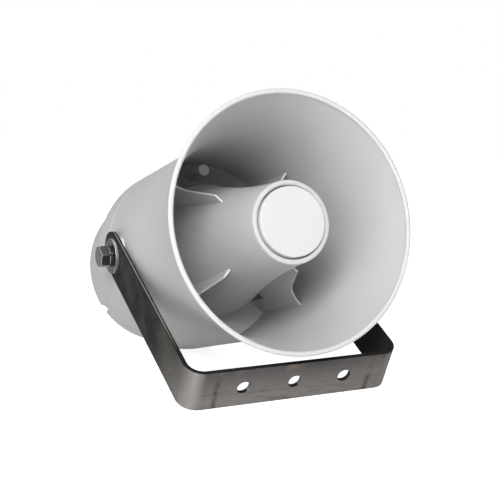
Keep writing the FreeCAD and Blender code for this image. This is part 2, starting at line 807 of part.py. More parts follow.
def yoke():
    """The back plate and centre pole in one turned steel piece."""
    return turned("yoke", [
        ("0", YOKE_REAR),
        (BODY_R, YOKE_REAR),
        (BODY_R, MAGNET_REAR),
        ("pole_dia / 2", MAGNET_REAR),
        ("pole_dia / 2", f"{PLATE_TOP} - pole_drop"),
        ("0", f"{PLATE_TOP} - pole_drop"),
    ])


# Rear cover and what it holds


def rear_cover():
    """The housing behind the seam: a drum ring, a small step, a tapered shell and a flat end wall."""
    step_r = f"({DRUM_R} - cover_step)"
    slope = f"(({step_r} - {END_R}) / {SHOULDER})"
    piece = Piece("rear_cover", several=True)
    screw_columns(piece, step_r)
    piece.turn(piece.outline(piece.sketch(), [
        ("0", "0"),
        (END_R, "0"),
        (step_r, SHOULDER),
        (DRUM_R, SHOULDER),
        (DRUM_R, f"{SEAM} - seam_chamfer"),
        (f"{DRUM_R} - seam_chamfer", SEAM),
        (LEDGE_R, SEAM),
        (LEDGE_R, f"{SEAM} - cover_ledge_thickness"),
        (DRUM_BORE, f"{SEAM} - 2 * cover_ledge_thickness"),
        (DRUM_BORE, f"{SHOULDER} + cover_wall"),
        (f"{step_r} - cover_wall", SHOULDER),
        (f"{END_R} - cover_wall + {slope} * cover_end_wall", "cover_end_wall"),
        ("0", "cover_end_wall"),
    ]))
    piece.soften("Fillet", "cover_end_round", lambda edge: circle_edge(edge, number(END_R), 0))
    screw_wells(piece)
    posts(piece)
    gland = piece.circle(piece.sketch("XY_Plane"), "0", "-gland_drop", "gland_thread_dia / 2 + fit_gap")
    piece.pocket(gland, "cover_end_wall")
    return piece


def screw_columns(piece, step_r):
    """Three columns that bear on the bell's floor, trimmed to end inside the cover's wall."""
    base = "cover_end_wall / 2"
    inset = "cover_wall / 2"
    trim = f"{SEAM} - cover_ledge_thickness / 2"
    column = piece.pad(
        piece.circle(piece.sketch("XY_Plane", base), "0", COVER_SCREW_R, COLUMN_R), f"{FLOOR} - {base}")
    piece.polar([column], COVER_SCREWS)
    piece.turn(piece.outline(piece.sketch(), [
        (f"{END_R} - {inset}", "0"),
        (f"{step_r} - {inset}", SHOULDER),
        (f"{step_r} - {inset}", trim),
        (f"{GASKET_R} - fit_gap", trim),
        (f"{GASKET_R} - fit_gap", f"{FLOOR} + cut_margin"),
        (f"2 * {DRUM_R}", f"{FLOOR} + cut_margin"),
        (f"2 * {DRUM_R}", "0"),
    ]), "Groove")


def screw_wells(piece):
    """The wells from behind, with the seat and the hole for each long screw."""
    well = piece.pocket(
        piece.circle(piece.sketch("XY_Plane"), "0", COVER_SCREW_R, "screw_well_dia / 2"), SCREW_SEAT)
    hole = piece.pocket(
        piece.circle(piece.sketch("XY_Plane", SCREW_SEAT), "0", COVER_SCREW_R, "cover_screw_shank / 2 + fit_gap"),
        f"{FLOOR} - {SCREW_SEAT}")
    piece.polar([well, hole], COVER_SCREWS)


def posts(piece):
    """Small bored posts on the end wall for the transformer and the terminal block."""
    for across, along in (TRANSFORMER_POST, TERMINAL_POST):
        drawing = piece.sketch("XY_Plane", "cover_end_wall")
        bore = piece.sketch("XY_Plane", "cover_end_wall")
        for side in ("", "-"):
            piece.circle(drawing, side + across, along, "post_dia / 2")
            piece.circle(bore, side + across, along, "case_screw_shank / 2 + thread_gap")
        piece.pad(drawing, "post_height")
        piece.pocket(bore, "post_height")


CORE_WIDTH = "(4 * core_leg + 2 * (winding_reach + bobbin_wall + window_gap))"
TRANSFORMER_POST = (f"({CORE_WIDTH} / 2 + core_clearance + frame_metal + frame_foot / 2)", "transformer_rise")
TERMINAL_WIDTH = f"({TERMINAL_WAYS} * terminal_pitch + 2 * terminal_end_wall)"
TERMINAL_POST = (f"({TERMINAL_WIDTH} / 2 + terminal_lug / 2)", "-terminal_drop")


def on_posts(along):
    """The frame of what stands on the posts, at a place up or down the end wall."""
    lift = number("cover_end_wall + post_height")
    return HORN * Placement(Vector(0, number(along), lift), Rotation())


def pair_of_screws(label, post, clamped):
    """Two small screws in one node, driven into the posts from the front through what they clamp."""
    piece = Piece(label, several=True)
    seat = f"cover_end_wall + post_height + {clamped}"
    lengths = {"head": "case_screw_head_height", "shank": f"post_height + {clamped} - screw_tip_gap"}
    across, along = post
    for part, length in lengths.items():
        drawing = piece.sketch("XY_Plane", seat)
        for side in ("", "-"):
            piece.circle(drawing, side + across, along, f"case_screw_{part} / 2")
        made = piece.pad(drawing, length)
        made.Reversed = part == "shank"
        piece.finish(made)
    return piece


def transformer_core():
    """A stack of E and I laminations, drawn as one block with its two windows."""
    piece = Piece("transformer_core", on_posts("transformer_rise"))
    drawing = piece.outline(piece.sketch(), rectangle(CORE_WIDTH, "core_height", "core_clearance"))
    outer = f"({CORE_WIDTH} / 2 - core_leg)"
    low = "core_clearance + core_leg"
    high = "core_clearance + core_height - core_leg"
    for side in ("", "-"):
        piece.outline(drawing, [
            (f"{side}core_leg", low), (f"{side}{outer}", low), (f"{side}{outer}", high), (f"{side}core_leg", high),
        ])
    piece.pad(drawing, "core_stack", both_sides=True)
    return piece


def spool(piece, inner, outer, low, high):
    """A square tube around the centre leg."""
    drawing = piece.sketch("XY_Plane", low)
    piece.outline(drawing, rectangle(f"2 * {outer}", f"2 * {outer}", f"-{outer}"))
    piece.outline(drawing, rectangle(f"2 * {inner}", f"2 * {inner}", f"-{inner}"))
    return piece.pad(drawing, f"{high} - ({low})")


WINDOW_LOW = "(2 * core_clearance + core_leg)"
WINDOW_HIGH = "(core_height - core_leg)"
BOBBIN_IN = "(core_leg + core_clearance)"
BOBBIN_OUT = f"({BOBBIN_IN} + bobbin_wall)"
WINDING_OUT = "(core_leg + winding_reach)"


def transformer_bobbin():
    """The moulded spool on the centre leg, with a flange at each end of the window."""
    piece = Piece("transformer_bobbin", on_posts("transformer_rise"))
    flange = f"({WINDING_OUT} + bobbin_wall)"
    spool(piece, BOBBIN_IN, flange, WINDOW_LOW, f"({WINDOW_LOW} + bobbin_wall)")
    spool(piece, BOBBIN_IN, BOBBIN_OUT, WINDOW_LOW, WINDOW_HIGH)
    spool(piece, BOBBIN_IN, flange, f"({WINDOW_HIGH} - bobbin_wall)", WINDOW_HIGH)
    return piece


def transformer_winding():
    piece = Piece("transformer_winding", on_posts("transformer_rise"))
    low = f"({WINDOW_LOW} + bobbin_wall + fit_gap)"
    spool(piece, f"({BOBBIN_OUT} + fit_gap)", WINDING_OUT, low, f"({WINDOW_HIGH} - bobbin_wall - fit_gap)")
    return piece


def transformer_frame():
    """The steel channel that clamps the core to the posts."""
    piece = Piece("transformer_frame", on_posts("transformer_rise"))
    inner = f"({CORE_WIDTH} / 2 + core_clearance)"
    outer = f"({inner} + frame_metal)"
    foot = f"({outer} + frame_foot)"
    top = "(core_height + 2 * core_clearance)"
    half = [
        (inner, top), (inner, "0"), (foot, "0"), (foot, "frame_metal"),
        (outer, "frame_metal"), (outer, f"{top} + frame_metal"),
    ]
    other = [(f"-{across}", along) for across, along in reversed(half)]
    piece.pad(piece.outline(piece.sketch(), half + other), "core_stack", both_sides=True)
    foot_holes(piece, TRANSFORMER_POST, "frame_metal")
    return piece


def foot_holes(piece, post, depth):
    """The clearance holes over the two posts."""
    drawing = piece.sketch("XY_Plane")
    for side in ("", "-"):
        piece.circle(drawing, side + post[0], "0", "case_screw_shank / 2 + fit_gap")
    piece.pocket(drawing, depth)


def terminal_block():
    """A moulded strip with a screwed lug at each end and a row of wire holes."""
    piece = Piece("terminal_block", on_posts("-terminal_drop"))
    piece.pad(piece.outline(piece.sketch(), rectangle(TERMINAL_WIDTH, "terminal_block_height")),
              "terminal_depth", both_sides=True)
    lugs = rectangle(f"({TERMINAL_WIDTH} + 2 * terminal_lug)", "terminal_lug_thickness")
    piece.pad(piece.outline(piece.sketch(), lugs), "post_dia", both_sides=True)
    wires = piece.sketch()
    for way in range(TERMINAL_WAYS):
        across = f"({way} - {(TERMINAL_WAYS - 1) / 2}) * terminal_pitch"
        piece.circle(wires, across, "(terminal_block_height + terminal_lug_thickness) / 2", "terminal_wire_hole / 2")
    piece.pocket(wires, "terminal_depth", both_sides=True)
    foot_holes(piece, TERMINAL_POST, "terminal_lug_thickness")
    return piece


# Cable gland: +Z points out of the back, from the end wall's outer face

GLAND = HORN * Placement(Vector(0, -number("gland_drop"), 0), Rotation(Vector(1, 0, 0), 180))
GLAND_R = "(gland_thread_dia / 2)"
GLAND_HEX = "(gland_thread_dia + 2 * gland_shoulder)"
SEAL_R = f"({GLAND_R} - gland_wall)"
GLAND_BORE_R = f"({SEAL_R} - gland_lip)"
SEAL_SEAT = "(gland_flange + gland_seat)"
NECK_END = "(gland_flange + gland_neck_length)"


def gland_body():
    """Threaded tube through the end wall, with a hexagon outside and a seat for the seal."""
    tail = "(cover_end_wall + locknut_thickness + gland_tail)"
    piece = turned("gland_body", [
        (GLAND_BORE_R, f"-{tail}"),
        (GLAND_R, f"-{tail}"),
        (GLAND_R, NECK_END),
        (f"{SEAL_R} + thread_gap", NECK_END),
        (f"{SEAL_R} + thread_gap", SEAL_SEAT),
        (GLAND_BORE_R, SEAL_SEAT),
    ], place=GLAND)
    drawing = piece.outline(piece.sketch("XY_Plane"), hexagon(GLAND_HEX))
    piece.circle(drawing, "0", "0", f"{GLAND_R} - gland_wall / 2")
    piece.pad(drawing, "gland_flange")
    return piece


def gland_seal():
    return ring("gland_seal", "gland_seal_bore / 2", SEAL_R, SEAL_SEAT, f"{SEAL_SEAT} + gland_seal_length",
                place=GLAND)


def gland_nut():
    """The closing nut: a hexagon with a tapered end that bears on the seal."""
    low = "(gland_flange + gland_nut_gap)"
    high = f"({low} + gland_nut_length)"
    inside = f"({NECK_END} + fit_gap)"
    end_r = f"({GLAND_HEX} / 2 - gland_nut_taper / 2)"
    piece = Piece("gland_nut", GLAND)
    piece.pad(piece.outline(piece.sketch("XY_Plane", low), hexagon(GLAND_HEX)), "gland_nut_length")
    piece.turn(piece.outline(piece.sketch(), [
        (f"{GLAND_HEX} / sqrt(3)", f"{high} - gland_nut_taper"),
        (end_r, high),
        (end_r, f"{high} + cut_margin"),
        (GLAND_HEX, f"{high} + cut_margin"),
        (GLAND_HEX, f"{high} - gland_nut_taper"),
    ]), "Groove")
    piece.turn(piece.outline(piece.sketch(), [
        ("0", f"{low} - cut_margin"),
        (f"{GLAND_R} + thread_gap", f"{low} - cut_margin"),
        (f"{GLAND_R} + thread_gap", inside),
        (SEAL_R, inside),
        (GLAND_BORE_R, f"{inside} + gland_lip"),
        (GLAND_BORE_R, f"{high} + cut_margin"),
        ("0", f"{high} + cut_margin"),
    ]), "Groove")
    return piece


def gland_locknut():
    piece = Piece("gland_locknut", GLAND)
    low = "(-cover_end_wall - locknut_thickness)"
    drawing = piece.outline(piece.sketch("XY_Plane", low), hexagon("(gland_thread_dia + 2 * locknut_shoulder)"))
    piece.circle(drawing, "0", "0", f"{GLAND_R} + thread_gap")
    piece.pad(drawing, "locknut_thickness")
    return piece


# Pivot hardware: +Z points outwards along the pivot axis, from the horn's axis


def pivot_side(side, tilt):
    """The bolt and the rings on it, from the threaded insert out to the head."""
    place = HORN * Placement(Vector(0, 0, number(PIVOT_HEIGHT)), Rotation(Vector(0, 1, 0), tilt))
    ring(f"{side}_insert", "pivot_thread_dia / 2", "pivot_insert_dia / 2",
         f"{BOSS_FACE} - pivot_insert_length", BOSS_FACE, place)
    ring(f"{side}_friction_washer", PIVOT_HOLE_R, "friction_washer_dia / 2",
         BOSS_FACE, f"{BOSS_FACE} + friction_washer_thickness", place)
    ring(f"{side}_washer", PIVOT_HOLE_R, "flat_washer_dia / 2", WASHER_IN, WASHER_OUT, place)
    spring_washer(f"{side}_spring_washer", place)
    pivot_bolt(f"{side}_bolt", place)


def spring_washer(label, place):
    """A split ring with a slanting cut."""
    outer = f"({PIVOT_HOLE_R} + spring_washer_width)"
    piece = ring(label, PIVOT_HOLE_R, outer, WASHER_OUT, HEAD_IN, place)
    half = "spring_washer_slit / 2"
    lean = "spring_washer_thickness / 3"
    slit = piece.outline(piece.sketch("YZ_Plane"), [
        (f"-{half} - {lean}", f"{WASHER_OUT} - cut_margin"),
        (f"{half} - {lean}", f"{WASHER_OUT} - cut_margin"),
        (f"{half} + {lean}", f"{HEAD_IN} + cut_margin"),
        (f"-{half} + {lean}", f"{HEAD_IN} + cut_margin"),
    ])
    piece.pocket(slit, f"2 * {outer}")


def pivot_bolt(label, place):
    """A hexagon bolt: bevelled head, and a shank that ends inside the threaded insert."""
    piece = Piece(label, place)
    piece.pad(piece.outline(piece.sketch("XY_Plane", HEAD_IN), hexagon("bolt_hex")), "bolt_head_height")
    top = f"({HEAD_IN} + bolt_head_height)"
    start = "(bolt_hex / 2 - bolt_bevel)"
    clear = "(bolt_hex / sqrt(3) + cut_margin)"
    piece.turn(piece.outline(piece.sketch(), [
        (start, top),
        (clear, f"{top} - ({clear} - {start}) / sqrt(3)"),
        (clear, f"{top} + cut_margin"),
        (start, f"{top} + cut_margin"),
    ]), "Groove")
    tip = f"({BOSS_FACE} - pivot_insert_length)"
    radius = "(pivot_thread_dia / 2 - thread_gap)"
    piece.pad(piece.circle(piece.sketch("XY_Plane", tip), "0", "0", radius), f"{HEAD_IN} - {tip}")
    piece.soften("Chamfer", "bolt_point", lambda edge: circle_edge(edge, number(radius), number(tip)))


# Bracket: +Z points from the base's outer face to the pivot


def bracket():
    """One strap bent to a U, with round ends, two pivot holes and three fixing holes."""
    half = "(bracket_width / 2)"
    bend_in = "(bracket_bend - bracket_thickness)"
    over = "bracket_reach + bracket_over"
    piece = Piece("bracket", STRAP)
    strap = piece.pad(piece.outline(piece.sketch(), [
        ("0", "0"),
        (f"{ARM_OUTER} - bracket_bend", "0"),
        (ARM_OUTER, "bracket_bend"),
        (ARM_OUTER, over),
        (ARM_INNER, over),
        (ARM_INNER, "bracket_bend"),
        (f"{ARM_OUTER} - bracket_bend", "bracket_thickness"),
        ("0", "bracket_thickness"),
    ], arcs={1: ("bracket_bend", 1), 5: (bend_in, -1)}), "bracket_width", both_sides=True)
    end = piece.pad(piece.circle(piece.sketch("YZ_Plane", ARM_INNER), "0", over, half), "bracket_thickness")
    pivot = piece.pocket(
        piece.circle(piece.sketch("YZ_Plane", ARM_INNER), "0", "bracket_reach", PIVOT_HOLE_R), "bracket_thickness")
    side_hole = piece.pocket(
        piece.circle(piece.sketch("XY_Plane"), "base_hole_spacing", "0", "base_hole_dia / 2"), "bracket_thickness")
    piece.mirror([strap, end, pivot, side_hole])
    piece.pocket(piece.circle(piece.sketch("XY_Plane"), "0", "0", "base_hole_dia / 2"), "bracket_thickness")
    return piece


def build():
    bell()
    inner_flare()
    nose_cap()
    throat_tube()
    driver_gasket()
    driver_front()
    phase_plug()
    diaphragm()
    surround()
    voice_coil()
    top_plate()
    magnet()
    yoke()
    screws("driver_screws", DRIVER_SCREW_R, EAR_REAR, "driver_screw", DRIVER_SCREWS)
    screws("plate_screws", PLATE_SCREW_R, f"{FRONT_TOP} - plate_screw_head_height", "plate_screw", PLATE_SCREWS,
           inward=True)
    ring("cover_gasket", GASKET_R, f"{DRUM_BORE} - fit_gap", SEAM, FLOOR)
    rear_cover()
    screws("cover_screws", COVER_SCREW_R, SCREW_SEAT, "cover_screw", COVER_SCREWS)
    transformer_core()
    transformer_bobbin()
    transformer_winding()
    transformer_frame()
    pair_of_screws("transformer_screws", TRANSFORMER_POST, "frame_metal")
    terminal_block()
    pair_of_screws("terminal_screws", TERMINAL_POST, "terminal_lug_thickness")
    gland_body()
    gland_seal()
    gland_nut()
    gland_locknut()
    pivot_side("left", -90)
    pivot_side("right", 90)
    bracket()


def check_and_write():
    """Stop on anything that failed, then write one STEP file for each sub-part."""
    doc.recompute()
    for item in doc.Objects:
        if "Invalid" in item.State or "Error" in item.State:
            raise RuntimeError(f"{item.Label} failed: {item.State}")
    os.makedirs("parts", exist_ok=True)
    for piece in PIECES:
        shape = piece.Shape
        if shape.isNull() or not shape.isValid():
            raise RuntimeError(f"{piece.Label} has no valid shape")
        shape.exportStep(f"parts/{piece.Label}.step")
        print(piece.Label, len(shape.Solids), "solid", round(shape.Volume), "mm3")


build()
check_and_write()
print("mouth", round(2 * number(MOUTH_R), 2), "across,", round(number(MOUTH), 2), "deep, points up by",
      round(PITCH, 2), "degrees, pivot at", [round(value, 2) for value in PIVOT])
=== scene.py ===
import json
import math

import bpy
from mathutils import Matrix, Vector

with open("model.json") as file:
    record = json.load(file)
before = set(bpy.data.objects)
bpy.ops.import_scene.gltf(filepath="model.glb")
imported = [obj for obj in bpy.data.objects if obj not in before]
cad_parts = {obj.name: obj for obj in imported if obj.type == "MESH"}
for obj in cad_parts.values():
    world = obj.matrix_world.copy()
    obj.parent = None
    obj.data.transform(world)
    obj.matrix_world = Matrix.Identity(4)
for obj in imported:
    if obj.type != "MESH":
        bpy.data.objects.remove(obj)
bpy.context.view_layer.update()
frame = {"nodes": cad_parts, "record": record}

MM = 0.001

# The pivot, and the horn's own directions: along its axis to the mouth, and upwards across it
PIVOT = Vector((0.0, 20.66, 100.53)) * MM
HORN_PITCH = math.radians(13.54)
HORN_TURN = Matrix.Rotation(math.radians(90) - HORN_PITCH, 3, "X")
HORN_AXIS = HORN_TURN @ Vector((0, 0, 1))
HORN_UP = HORN_TURN @ Vector((0, 1, 0))

# The strap's own directions: down its arms from the pivot, and across its width
STRAP_LEAN = math.radians(61.78)
STRAP_REACH = Vector((0, -math.sin(STRAP_LEAN), -math.cos(STRAP_LEAN)))
STRAP_WIDTH = Vector((0, math.cos(STRAP_LEAN), -math.sin(STRAP_LEAN)))

# Where the tints begin and where they are full. Distances are in millimetres, and facings are
# the cosine of the angle between a face and the direction named.

# Horn: ahead of the pivot along the axis, out from the axis, above it, and facing the mouth
# These place the horn's painted highlights on the bead, the nose's ring and the fins' front
# edges, and its painted shade on the sound path's floor
BEAD_AHEAD = (164.2, 164.8)
RING_AHEAD = (155.0, 155.4)
RING_RADIUS = (40, 38)
FINS_BACK = (8, 10)
FINS_FRONT = (100, 98)
FINS_FACING = (0.3, 0.4)
PATH_FLOOR_AHEAD = (-24, -25)
PATH_FLOOR_RADIUS = (82.4, 82.0)
PATH_FLOOR_ABOVE = (-45, 15)
PATH_FLOOR_FACING = (0.8, 0.9)

# Strap: down from the pivot, across its width, and facing across it as its narrow faces do
# These place the painted reflection of the floor on the base, the painted highlights at the bends
# and along the arms' narrow faces, and the narrow faces' painted dark reflection
BASE_DOWN = (112, 186)
BASE_ACROSS = (-17, 10)
BEND_DOWN = (156, 172)
EDGE_HIGHLIGHT_DOWN = (150, 120)
NARROW_FACE_FACING = (0.6, 0.8)

# Strap, out from its middle: the middle of each band, half the width where it is full, and the
# further width over which it fades
# The bend's band is a painted highlight, the mark's band the press's marks, and the narrow faces'
# band a painted highlight
BEND_BAND = (84, 0.5, 7)
MARK_BAND = (66, 0.4, 3.0)
EDGE_HIGHLIGHT_BAND = (88.9, 0.4, 0.5)

# A point between the strap's arms. The way from it to a face, measured in metres along the
# face's own normal, is below 0 for the inner faces.
# The inner faces found from this point get painted shade
STRAP_INSIDE = PIVOT + STRAP_REACH * 100 * MM
INNER_FACE = (0.0, -0.02)

# Washers: facing along the pivot's axis
# Faces that face along the pivot's axis get a painted dark reflection, and the rim a painted
# highlight
WASHER_FACING = (0.5, 0.9)

# Edges: the cosine between the rounded normal and the true one
EDGE_AGREEMENT = (0.995, 0.86)

# How far the gloss varies with the grain, how strong its relief is, and the rays for an edge
GLOSS_SPREAD = 0.05
RELIEF_STRENGTH = 0.5
EDGE_SAMPLES = 6

# Sockets of the node that mixes two colours: other kinds of value have sockets of the same names
MIX_FACTOR, MIX_FIRST, MIX_SECOND, MIX_RESULT = 0, 6, 7, 2


# Nodes


def linear(code):
    """A linear colour from an sRGB hex code."""
    parts = [int(code[i:i + 2], 16) / 255 for i in (1, 3, 5)]
    return [part / 12.92 if part <= 0.04045 else ((part + 0.055) / 1.055) ** 2.4
            for part in parts] + [1.0]


def add(material, kind, settings=None, links=None):
    """A node of a material with its settings, and links from other sockets to its inputs."""
    node = material.node_tree.nodes.new(kind)
    for name, value in (settings or {}).items():
        if isinstance(name, str) and hasattr(node, name):
            setattr(node, name, value)
        else:
            node.inputs[name].default_value = value
    for name, socket in (links or {}).items():
        material.node_tree.links.new(socket, node.inputs[name])
    return node


def empty_material(name):
    material = bpy.data.materials.new(name)
    material.use_nodes = True
    material.node_tree.nodes.clear()
    return material


def place(material):
    """The point of the object as modelled, so that tints move with their piece."""
    return add(material, "ShaderNodeTexCoord").outputs["Object"]


def face_normal(material):
    """The normal of the object as modelled."""
    return add(material, "ShaderNodeTexCoord").outputs["Normal"]


def minus(material, value, amount):
    return add(material, "ShaderNodeMath", {"operation": "SUBTRACT", 1: amount},
               {0: value}).outputs[0]


def absolute(material, value):
    return add(material, "ShaderNodeMath", {"operation": "ABSOLUTE"}, {0: value}).outputs[0]


def both(material, first, second):
    """The product of two masks."""
    return add(material, "ShaderNodeMath", {"operation": "MULTIPLY"},
               {0: first, 1: second}).outputs[0]


def dot(material, value, other):
    """The dot product of a vector with a fixed one or with another socket's."""
    settings, links = {"operation": "DOT_PRODUCT"}, {0: value}
    if isinstance(other, Vector):
        settings[1] = other
    else:
        links[1] = other
    return add(material, "ShaderNodeVectorMath", settings, links).outputs["Value"]


def offset(material, start):
    """The way from a start point to the point of the object."""
    return add(material, "ShaderNodeVectorMath", {"operation": "SUBTRACT", 1: start},
               {0: place(material)}).outputs[0]


def along(material, direction, start):
    """The distance in millimetres from a start point of the object along a direction."""
    way = direction / MM
    return minus(material, dot(material, place(material), way), way.dot(start))


def from_axis(material, axis, start):
    """The distance in millimetres from an axis through a start point."""
    turned = add(material, "ShaderNodeVectorMath", {"operation": "CROSS_PRODUCT", 1: axis / MM},
                 {0: offset(material, start)})
    return add(material, "ShaderNodeVectorMath", {"operation": "LENGTH"},
               {0: turned.outputs[0]}).outputs["Value"]


def ramp(material, value, none, full):
    """A mask that is 0 where a value reaches none and 1 where it reaches full."""
    return add(material, "ShaderNodeMapRange", {"From Min": none, "From Max": full},
               {"Value": value}).outputs[0]


def band(material, value, middle, half, fade):
    """A mask that is 1 within half of the middle, falling to 0 over a further fade."""
    off = absolute(material, minus(material, value, middle))
    return ramp(material, off, half + fade, half)


def spread(material, value, low, high):
    """A value of 0 to 1, spread from low to high."""
    return add(material, "ShaderNodeMapRange", {"To Min": low, "To Max": high},
               {"Value": value}).outputs[0]


def noise(material, size, detail=2.0, stretch=(1, 1, 1)):
    """Noise with patches of about a size in millimetres, drawn out along the axes below 1."""
    scaled = add(material, "ShaderNodeMapping", {"Scale": stretch}, {"Vector": place(material)})
    return add(material, "ShaderNodeTexNoise", {"Scale": 1 / (size * MM), "Detail": detail},
               {"Vector": scaled.outputs[0]}).outputs["Fac"]


def blend(material, factor, first, second):
    """A mix of two colours; each is a hex code or the output of a node."""
    settings, links = {"data_type": "RGBA"}, {MIX_FACTOR: factor}
    for socket, colour in ((MIX_FIRST, first), (MIX_SECOND, second)):
        if isinstance(colour, str):
            settings[socket] = linear(colour)
        else:
            links[socket] = colour
    return add(material, "ShaderNodeMix", settings, links).outputs[MIX_RESULT]


def soft_edge(material, radius):
    """The normal with edges rounded to a radius in millimetres."""
    return add(material, "ShaderNodeBevel",
               {"samples": EDGE_SAMPLES, "Radius": radius * MM}).outputs[0]


def edge_mask(material, rounded):
    """A mask that is 1 on sharp edges, from how far the rounded normal leaves the true one."""
    true = add(material, "ShaderNodeNewGeometry").outputs["Normal"]
    return ramp(material, dot(material, rounded, true), *EDGE_AGREEMENT)


def grained(material, height, relief, normal):
    """The normal with a fine relief of a depth in millimetres."""
    return add(material, "ShaderNodeBump", {"Strength": RELIEF_STRENGTH, "Distance": relief * MM},
               {"Height": height, "Normal": normal}).outputs[0]


def shaded(material, tint, gloss, normal, settings):
    """The material, with its shader and the settings that don't vary over it."""
    shader = add(material, "ShaderNodeBsdfPrincipled", settings,
                 {"Base Color": tint, "Roughness": gloss, "Normal": normal})
    add(material, "ShaderNodeOutputMaterial", links={"Surface": shader.outputs[0]})
    return material


def grey(value):
    return (value, value, value, 1.0)


# Materials


def surface(name, colour, second, roughness, metal=0.0, grain=0.6, relief=0.02, patch=25.0,
            edge=0.3, edge_wear_and_highlight=None, shine=0.5, glance=1.0, tints=None):
    """Two close colours in soft patches, a fine grain in gloss and relief, and rounded edges.

    Sizes are in millimetres: grain and patch are widths of the pattern, relief is its depth and
    edge the rounding. The paler edge colour is laid on sharp edges: wear, and on the dark steel a
    painted highlight. Shine is the gloss of a plastic, glance how much of its gloss a metal keeps
    at a low angle, and tints a function that tones the colour, which for the horn adds painted
    highlights and painted shade."""
    material = empty_material(name)
    fine = noise(material, grain)
    tint = blend(material, noise(material, patch, 3.0), colour, second)
    if tints:
        tint = tints(material, tint)
    rounded = soft_edge(material, edge)
    if edge_wear_and_highlight:
        tint = blend(material, edge_mask(material, rounded), tint, edge_wear_and_highlight)
    gloss = spread(material, fine, roughness - GLOSS_SPREAD, roughness + GLOSS_SPREAD)
    return shaded(material, tint, gloss, grained(material, fine, relief, rounded),
                  {"Metallic": metal, "Specular IOR Level": shine, "Specular Tint": grey(glance)})


def horn_tints(material, tint):
    """The horn's plastic, with painted highlights that make it paler on the mouth's bead, the
    nose's ring and the fins' front edges, and painted shade that darkens the top of the sound
    path's floor, which lies in deep shade."""
    ahead = along(material, HORN_AXIS, PIVOT)
    radius = from_axis(material, HORN_AXIS, PIVOT)
    facing = dot(material, face_normal(material), HORN_AXIS)

    # Painted highlight on the mouth's bead
    bead = ramp(material, ahead, *BEAD_AHEAD)
    tint = blend(material, bead, tint, "#DDDDDB")

    # Painted highlight on the nose's rolled ring
    ring = both(material, ramp(material, ahead, *RING_AHEAD),
                ramp(material, radius, *RING_RADIUS))
    tint = blend(material, ring, tint, "#D4D4D3")

    # Painted highlight on the fins' front edges
    fins = both(material, ramp(material, ahead, *FINS_BACK),
                ramp(material, ahead, *FINS_FRONT))
    fins = both(material, fins, ramp(material, facing, *FINS_FACING))
    tint = blend(material, fins, tint, "#F4F4F2")

    # Painted shade: the top of the sound path's floor is darkened where it lies in deep shadow
    shade = both(material, ramp(material, ahead, *PATH_FLOOR_AHEAD),
                 ramp(material, radius, *PATH_FLOOR_RADIUS))
    shade = both(material, shade, ramp(material, facing, *PATH_FLOOR_FACING))
    above = along(material, HORN_UP, PIVOT)
    shade = both(material, shade, ramp(material, above, *PATH_FLOOR_ABOVE))
    return blend(material, shade, tint, "#9A9B99")


def strap_steel(name):
    """Dark enamelled strap, near black on the arms and lighter grey on the base, where the
    lighter grey, paler still towards the base's lower edge, is a painted reflection of the floor.
    A painted highlight at the bends, clouded patches, the press's marks beside the bends, painted
    shade on the inner faces, and narrow faces painted dark as a reflection of the shaded bell,
    with a painted highlight along the arms' narrow faces."""
    material = empty_material(name)
    down = along(material, STRAP_REACH, PIVOT)
    across = along(material, STRAP_WIDTH, PIVOT)
    side = absolute(material, along(material, Vector((1, 0, 0)), PIVOT))
    clouds = noise(material, 22.0, 4.0)
    drawn = noise(material, 3.0, 3.0, stretch=(0.15, 1, 1))

    # Near black arms and a lighter base, paler towards its lower edge: the base's lightness is a
    # painted reflection of the floor
    arm = blend(material, ramp(material, clouds, 0.36, 0.68), "#333331", "#474745")
    base = blend(material, ramp(material, across, *BASE_ACROSS), "#5F5D5C", "#8E8B88")
    base = blend(material, ramp(material, clouds, 0.52, 0.75), base, "#877D77")
    base = blend(material, ramp(material, drawn, 0.5, 0.85), base, "#696766")
    tint = blend(material, ramp(material, down, *BASE_DOWN), arm, base)

    # Painted highlight at the bends
    bend_highlight = both(material, band(material, side, *BEND_BAND), ramp(material, down, *BEND_DOWN))
    tint = blend(material, bend_highlight, tint, "#989592")
    broken = ramp(material, noise(material, 9.0, 3.0), 0.38, 0.66)
    mark = both(material, band(material, side, *MARK_BAND), broken)
    tint = blend(material, mark, tint, "#4E4A48")

    # Painted shade on the inner faces
    outward = dot(material, offset(material, STRAP_INSIDE), face_normal(material))
    tint = blend(material, ramp(material, outward, *INNER_FACE), tint, "#363634")

    # Narrow faces painted dark as a reflection of the shaded bell, with a painted highlight along
    # the arms' narrow faces
    edge_highlight = both(material, band(material, side, *EDGE_HIGHLIGHT_BAND),
                  ramp(material, down, *EDGE_HIGHLIGHT_DOWN))
    narrow_face_reflection = blend(material, edge_highlight, "#2A2928", "#7E7D7B")
    facing = absolute(material, dot(material, face_normal(material), STRAP_WIDTH))
    tint = blend(material, ramp(material, facing, *NARROW_FACE_FACING), tint, narrow_face_reflection)

    normal = grained(material, noise(material, 0.6), 0.02, soft_edge(material, 0.9))
    return shaded(material, tint, spread(material, clouds, 0.4, 0.55), normal,
                  {"Specular IOR Level": 0.0})


def washer_steel(name):
    """Zinc plated washer: darker grey faces, a painted reflection, and a bright punched rim, a
    painted highlight.
    """
    material = empty_material(name)
    facing = absolute(material, dot(material, face_normal(material), Vector((1, 0, 0))))
    # Painted reflection darkens the faces, and a painted highlight brightens the rim
    painted_face_reflection = blend(material, noise(material, 5.0, 3.0), "#3F3F3F", "#666665")
    tint = blend(material, ramp(material, facing, *WASHER_FACING), "#D0D0CD", painted_face_reflection)
    return shaded(material, tint, spread(material, noise(material, 0.4), 0.3, 0.45),
                  soft_edge(material, 0.4), {"Metallic": 1.0, "Specular Tint": grey(0.6)})


